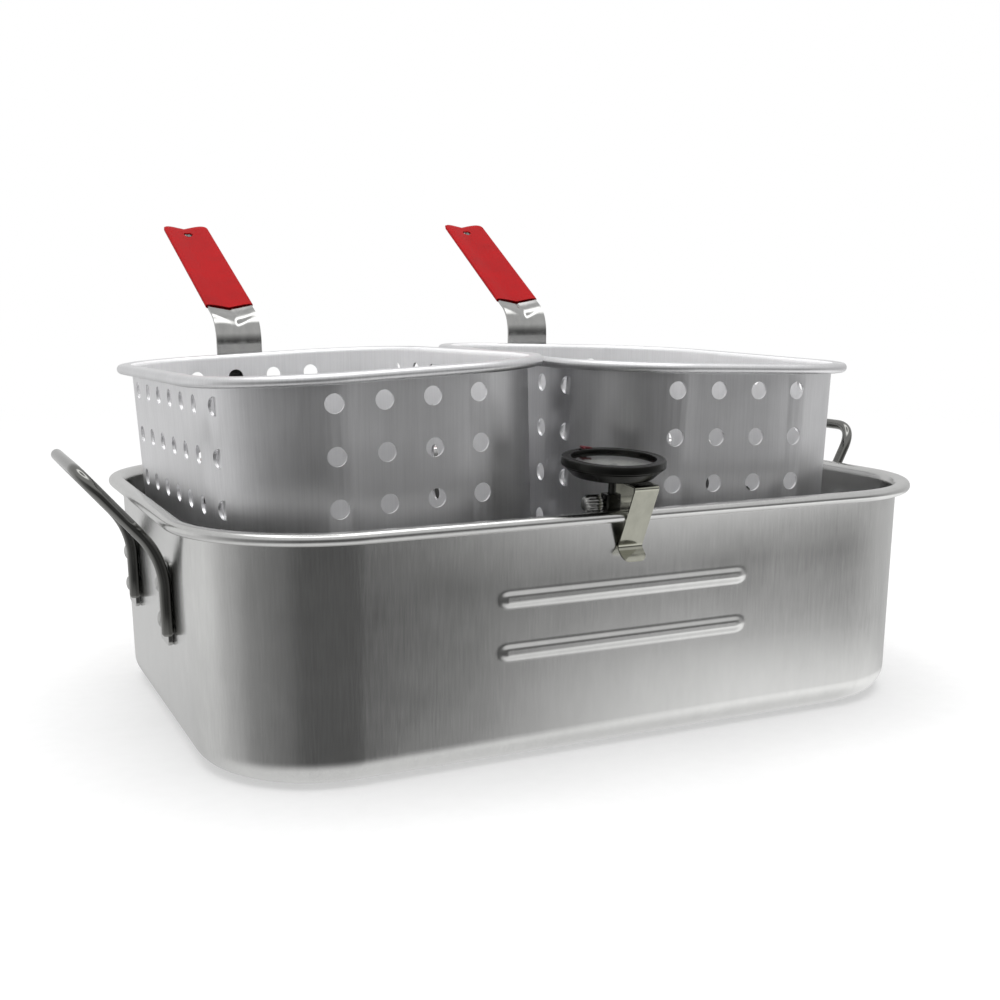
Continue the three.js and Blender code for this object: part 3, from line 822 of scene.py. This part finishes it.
def make_needle(place, face_top):
    bottom = face_top + 0.9
    top = bottom + 0.5
    boss, turns = 2, (0.8, 1.2, 1.57, 1.9, 2.3)
    outline = [(-5, -0.9), (-1.6, -0.9)]
    outline += [(boss * math.cos(-a), boss * math.sin(-a)) for a in reversed(turns)]
    outline += [(16, -0.2), (17.5, 0), (16, 0.2)]
    outline += [(boss * math.cos(a), boss * math.sin(a)) for a in turns]
    outline += [(-1.6, 0.9), (-5, 0.9)]
    rings = [[Vector((x, y, z)) for x, y in outline] for z in (bottom, top)]
    start = Matrix.Rotation(math.radians(SCALE["start"]), 4, "Z")
    piece = build("needle_blade", loft(rings), place @ start)
    finish_piece(soften(piece, 0.08), "needle", "needle_black", INK, "dial_needle")
    hub = lathe([(0, top), (1.4, top), (1.2, bottom + 0.9), (0, bottom + 1)], 32)
    finish_piece(build("needle_hub", hub, place), "needle", "dark_metal", GUNMETAL)


def make_stem(place):
    radius, length = STEM["radius"], STEM["length"]
    top = -DIAL["depth"] + 1.6
    profile = [(0, -length)] + [
        (radius * math.sin(a), -length + radius * (1 - math.cos(a))) for a in (0.4, 0.8, 1.2, QUARTER)
    ]
    bore, plug = 1.35, 4
    profile += [(radius, top), (bore, top), (bore, -length + plug), (0, -length + plug)]
    piece = build("stem_tube", lathe(profile, 40), place)
    finish_piece(piece, "thermometer", "spring_steel", BLACKENED, "thermometer_stem")
    for name, material in (("stem_nut", BLACKENED), ("bimetal_coil", SPRING), ("pointer_shaft", SPRING)):
        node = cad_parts[name]
        node.data.materials.clear()
        node.data.materials.append(material)


def make_marker(place):
    inner, outer, half, sheet = 19.5, 26.4, 2.6, 1.2
    shoulder, notch = inner + 3.4, inner + 2.4
    outline = [
        (inner, -half), (shoulder, -1.7), (outer, -0.3),
        (outer, 0.3), (shoulder, 1.7), (inner, half), (notch, 0),
    ]
    rings = [[Vector((x, y, z)) for x, y in outline] for z in (GAP, GAP + sheet)]
    turn = Matrix.Rotation(math.radians(MARKER_AT), 4, "Z")
    piece = build("marker_arrow", loft(rings), place @ turn)
    finish_piece(soften(piece, 0.25), "marker", "marker_red", MARKER_RED, "temperature_marker")


def clip_line():
    """The clip's middle line as (y, z), up its inner leg, over the rim and down to the tail."""
    corners = [
        Vector((CLIP["inner"], CLIP["inner_end"])),
        Vector((CLIP["inner"], CLIP["top"])),
        Vector((CLIP["front"], CLIP["top"])),
        Vector(CLIP["pinch"]),
        Vector(CLIP["tail"]),
    ]
    return fine_line(corners, CLIP["bend"], 0.9)


def make_clip(place):
    line = clip_line()
    lengths = distances(line)
    middle = CLIP["first_x"] + CLIP["width"] / 2
    cells, tail_round, tail_share = CLIP["cells"], CLIP["tail_round"], 0.45
    rings = []
    for i in range(len(line)):
        to_end = lengths[-1] - lengths[i]
        half = CLIP["width"] / 2
        if to_end < tail_round:
            curve = math.sqrt(max(0.05, 1 - (1 - to_end / tail_round) ** 2))
            half *= curve * (1 - tail_share) + tail_share
        xs = [middle + half * (2 * k / cells - 1) for k in range(cells + 1)]
        top = [across(line, i, x, CLIP["sheet"] / 2) for x in xs]
        under = [across(line, i, x, -CLIP["sheet"] / 2) for x in reversed(xs)]
        rings.append(top + under)
    strip = build("clip_strip", loft(rings), place)
    notch = moved(rod(CLIP["notch"], 12, "z", 40), Matrix.Translation((0, 0, CLIP["top"])))
    drill(strip, (notch, place))
    finish_piece(soften(strip, 0.18), "clip", "spring_steel", SPRING, "rim_clip")

    low_x, high_x = -COLLAR["half_x"], CLIP["first_x"] - 0.02
    low, high = COLLAR["bottom"], COLLAR["top"]
    ear = [(low_x, low), (high_x, low), (high_x, high), (low_x, high)]
    sides = [CLIP["inner"] - CLIP["sheet"] / 2, CLIP["inner"] + CLIP["sheet"] / 2]
    rings = [[Vector((x, y, z)) for x, z in ear] for y in sides]
    finish_piece(soften(build("clip_ear", loft(rings), place), 0.15), "clip", "spring_steel", SPRING)

    outer = rounded_ring(COLLAR["half_x"], COLLAR["half_y"], 1.2, 0, 7)
    inner = ring_of(STEM["radius"] + GAP, 0, len(outer))
    lift = [Vector((0, 0, z)) for z in (low, high)]
    rings = [[p + lift[0] for p in outer], [p + lift[1] for p in outer]]
    rings += [[p + lift[1] for p in inner], [p + lift[0] for p in inner]]
    collar = soften(build("stem_collar", loft(rings, True), place), 0.3)
    finish_piece(collar, "clip", "dark_metal", BLACKENED, "clip_collar")


def make_thumb_screw(place):
    """A knurled knob on a short screw, pointing -X."""
    steps = SCREW["knurls"] * SCREW["per_knurl"]
    head, neck, shank = SCREW["head"], 3.2, 1.5
    start = COLLAR["half_x"] + GAP
    end = start + SCREW["length"]
    profile = [
        (0, 0.3), (shank - 0.05, 0.3), (shank, 0.8), (shank, start - 2), (neck, start),
        (head - 0.6, start + 0.5), (head, start + 1.4), (head, end - 2.6),
        (head - 1.1, end - 0.9), (head - 2.6, end), (0, end),
    ]
    rings = []
    for radius, z in profile:
        groove = SCREW["groove"] * smoothstep((radius - 3) / 1.6)
        ring = []
        for i in range(steps):
            angle = 2 * math.pi * i / steps
            cut = groove * (0.5 - 0.5 * math.cos(SCREW["knurls"] * angle)) ** 2
            ring.append(Vector(((radius - cut) * math.cos(angle), (radius - cut) * math.sin(angle), z)))
        rings.append(ring)
    turn = Matrix.Translation((0, 0, SCREW["height"])) @ Matrix.Rotation(-QUARTER, 4, "Y")
    at = place @ turn @ Matrix.Translation((0, 0, STEM["radius"]))
    piece = build("knurled_screw", loft(rings), at, 50)
    finish_piece(piece, "thumb_screw", "bright_plating", PLATED, "thumb_screw")


def make_thermometer():
    place = thermometer_frame()
    face_top = make_dial(place)
    make_needle(place, face_top)
    make_stem(place)
    make_marker(place)
    make_clip(place)
    make_thumb_screw(place)


# ------------------------------------------------------------------ studio
def make_camera():
    data = bpy.data.cameras.new("camera")
    data.lens = 46.5
    data.sensor_width = 36
    camera = bpy.data.objects.new("camera", data)
    camera.location = (-0.3366, -0.7069, 0.2315)
    looks_down, turned_right = 8.88, 25.28
    camera.rotation_euler = [math.radians(a) for a in (90 - looks_down, 0, -turned_right)]
    data.clip_start = 0.01
    bpy.context.scene.collection.objects.link(camera)
    bpy.context.scene.camera = camera


# Brightness round the room as (degrees right of -Y, value), at eye level and lower down.
LEVEL_LIGHT = (
    (-180, 0.70), (-120, 0.85), (-95, 0.48), (-75, 0.28), (-50, 0.20), (-30, 0.12), (8, 0.12),
    (19, 0.10), (25, 0.17), (34, 0.18), (45, 0.22), (60, 0.38), (85, 0.55), (120, 0.60), (180, 0.70),
)
LOW_LIGHT = (
    (-180, 0.60), (-120, 0.70), (-95, 0.50), (-75, 0.28), (-50, 0.20), (-30, 0.10), (8, 0.10),
    (19, 0.085), (24, 0.16), (29, 0.65), (36, 1.25), (80, 1.20), (180, 0.60),
)
LOW_AT = (-0.272, -0.325)
# Brightness elsewhere, and the heights of a direction between which it takes over.
OTHER_LIGHTS = (
    (0.8, -0.5, -0.85),  # the floor
    (0.7, 0.08, 0.4),  # the upper walls
    (3.4, 0.85, 0.94),  # the lamps overhead
    (0.6, 0.95, 0.98),  # the gap in their middle
)


class Studio:
    """The world's node tree, which lights the object and shows a white backdrop to the camera."""

    def __init__(self, world):
        world.use_nodes = True
        self.nodes, self.links = world.node_tree.nodes, world.node_tree.links
        self.direction = self.nodes.new("ShaderNodeSeparateXYZ")
        place = self.nodes.new("ShaderNodeTexCoord")
        self.links.new(place.outputs["Generated"], self.direction.inputs[0])

    def remap(self, value, low, high):
        node = self.nodes.new("ShaderNodeMapRange")
        node.inputs["From Min"].default_value = low
        node.inputs["From Max"].default_value = high
        self.links.new(value, node.inputs["Value"])
        return node.outputs[0]

    def around(self, stops):
        """Brightness by compass direction."""
        front = self.nodes.new("ShaderNodeMath")
        front.operation = "MULTIPLY"
        front.inputs[1].default_value = -1
        self.links.new(self.direction.outputs["Y"], front.inputs[0])
        bearing = self.nodes.new("ShaderNodeMath")
        bearing.operation = "ARCTAN2"
        self.links.new(self.direction.outputs["X"], bearing.inputs[0])
        self.links.new(front.outputs[0], bearing.inputs[1])
        ramp = self.nodes.new("ShaderNodeValToRGB")
        ramp.color_ramp.interpolation = "EASE"
        elements = ramp.color_ramp.elements
        while len(elements) < len(stops):
            elements.new(0.5)
        for element, (degrees, value) in zip(elements, stops):
            element.position = degrees / 360 + 0.5
            element.color = (value, value, value, 1)
        self.links.new(self.remap(bearing.outputs[0], -math.pi, math.pi), ramp.inputs[0])
        return ramp.outputs[0]

    def blend(self, first, second, height_from, height_to):
        """From first to second as the direction's height goes between the two."""
        node = self.nodes.new("ShaderNodeMix")
        node.data_type = "RGBA"
        share = self.remap(self.direction.outputs["Z"], height_from, height_to)
        self.links.new(share, node.inputs["Factor"])
        self.links.new(first, node.inputs["A"])
        if isinstance(second, float):
            node.inputs["B"].default_value = (second, second, second, 1)
        else:
            self.links.new(second, node.inputs["B"])
        return node.outputs["Result"]


def make_studio():
    world = bpy.data.worlds.new("studio")
    bpy.context.scene.world = world
    studio = Studio(world)
    nodes, links = studio.nodes, studio.links
    light = studio.blend(studio.around(LEVEL_LIGHT), studio.around(LOW_LIGHT), *LOW_AT)
    for value, height_from, height_to in OTHER_LIGHTS:
        light = studio.blend(light, value, height_from, height_to)
    room = nodes["Background"]
    links.new(light, room.inputs["Color"])
    backdrop = nodes.new("ShaderNodeBackground")
    backdrop.inputs["Color"].default_value = (1, 1, 1, 1)
    mix = nodes.new("ShaderNodeMixShader")
    links.new(nodes.new("ShaderNodeLightPath").outputs["Is Camera Ray"], mix.inputs[0])
    links.new(room.outputs[0], mix.inputs[1])
    links.new(backdrop.outputs[0], mix.inputs[2])
    links.new(mix.outputs[0], nodes["World Output"].inputs["Surface"])
    add_softbox()


def add_softbox():
    data = bpy.data.lights.new("top_light", "AREA")
    data.shape = "SQUARE"
    data.size = 1.6
    data.energy = 9
    light = bpy.data.objects.new("top_light", data)
    light.location = (-0.1, 0.1, 1.5)
    light.rotation_euler = (-light.location).to_track_quat("-Z", "Y").to_euler()
    light.visible_camera = False
    light.visible_glossy = False
    bpy.context.scene.collection.objects.link(light)


def make_floor():
    half, just_below = 6.0, -0.0002
    corners = [(-half, -half, 0), (half, -half, 0), (half, half, 0), (-half, half, 0)]
    mesh = bpy.data.meshes.new("floor")
    mesh.from_pydata(corners, [], [(0, 1, 2, 3)])
    floor = bpy.data.objects.new("floor", mesh)
    floor.location.z = just_below
    m = Nodes("floor_paper")
    grain = m.noise((0.01, 0.01, 0.01))
    reach = m.new("ShaderNodeVectorMath")
    reach.operation = "LENGTH"
    m.feed(reach.inputs[0], m.place)
    glow_near, glow_far, near, far = 0.4, 1.0, 0.4, 2.2
    glow = m.spread(reach.outputs["Value"], glow_near, glow_far, near, far)
    m.set(
        Base_Color=m.tint((0.93, 0.93, 0.93), m.math("SUBTRACT", m.spread(grain, 0.99, 1.01), glow)),
        Emission_Color=(1, 1, 1, 1),
        Emission_Strength=glow,
        Specular_IOR_Level=0.0,
        Roughness=0.9,
    )
    floor.visible_glossy = False
    mesh.materials.append(m.material)
    bpy.context.scene.collection.objects.link(floor)


make_camera()
make_studio()
make_floor()
make_pan()
make_baskets()
for end in WIRE_LOOPS:
    make_wire_handle(end)
make_thermometer()
bpy.context.scene.view_settings.view_transform = "Standard"
